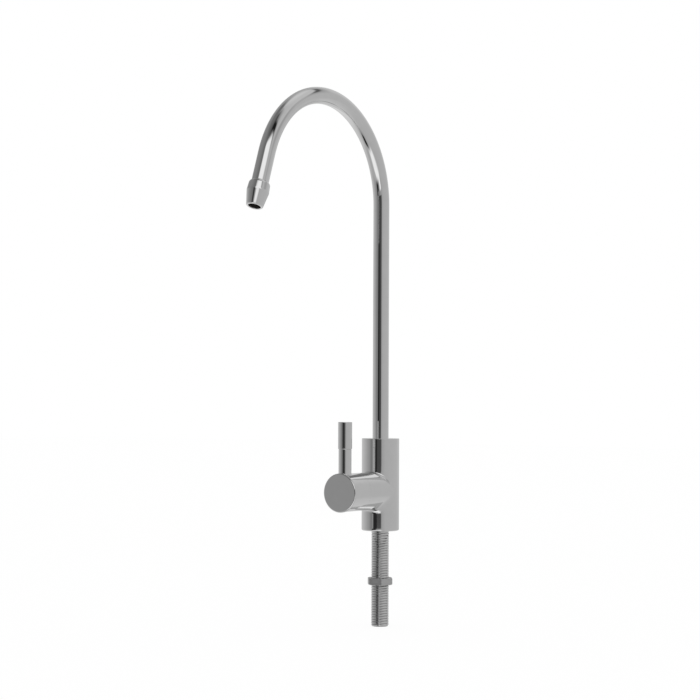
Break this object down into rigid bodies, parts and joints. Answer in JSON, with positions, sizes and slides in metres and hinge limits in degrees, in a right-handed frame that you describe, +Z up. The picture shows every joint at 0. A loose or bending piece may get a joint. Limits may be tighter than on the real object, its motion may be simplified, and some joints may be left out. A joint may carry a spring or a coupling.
{
  "type": "drinking water tap",
  "caption": "Chrome gooseneck drinking-water tap with a swivel spout, a quarter-turn lever on a side arm, a threaded shank and a lock nut for a worktop.",
  "frame": {"origin": "centre of the body's underside, on the worktop's surface", "axes": "+Z up along the body and the riser, -Y towards the spout's outlet and the handle"},
  "size_m": [0.0242, 0.1479, 0.3342],
  "materials": {
    "chrome": "polished chrome plate on brass",
    "plated_thread": "thin nickel plate on a cut thread",
    "brass": "turned",
    "ceramic": "lapped alumina",
    "rubber": "moulded",
    "slip_plastic": "turned PTFE",
    "steel": "stainless"
  },
  "bodies": {
    "tap_body": {"valve_body": "chrome", "base_seal": "rubber", "threaded_shank": "plated_thread", "shank_seal": "rubber", "swivel_bush": "chrome", "cartridge_housing": "brass", "seat_seal": "rubber", "fixed_disc": "ceramic", "housing_o_ring": "rubber", "cartridge_nut": "brass"},
    "spout": {"spout_tube": "chrome", "spout_ferrule": "brass", "spout_o_rings": "rubber", "slip_washer": "slip_plastic", "outlet_nozzle": "chrome"},
    "handle": {"handle_hub": "chrome", "hub_cap": "chrome", "handle_screw": "steel", "lever_rod": "chrome", "lever_grip": "chrome", "valve_spindle": "brass", "spindle_o_rings": "rubber", "spindle_circlip": "steel", "friction_washer": "slip_plastic", "moving_disc": "ceramic"},
    "nut": {"lock_nut": "plated_thread"}
  },
  "joints": [
    {"name": "spout_swivel", "type": "hinge", "parent": "tap_body", "child": "spout", "pos_m": [0, 0, 0.0584], "axis": [0, 0, 1], "continuous": true},
    {"name": "handle_turn", "type": "hinge", "parent": "tap_body", "child": "handle", "pos_m": [0, -0.0279, 0.0254], "axis": [0, -1, 0], "range_deg": [0, 90]},
    {"name": "lock_nut_travel", "type": "slide", "parent": "tap_body", "child": "nut", "axis": [0, 0, 1], "range_m": [-0.0261, 0.0295]}
  ]
}
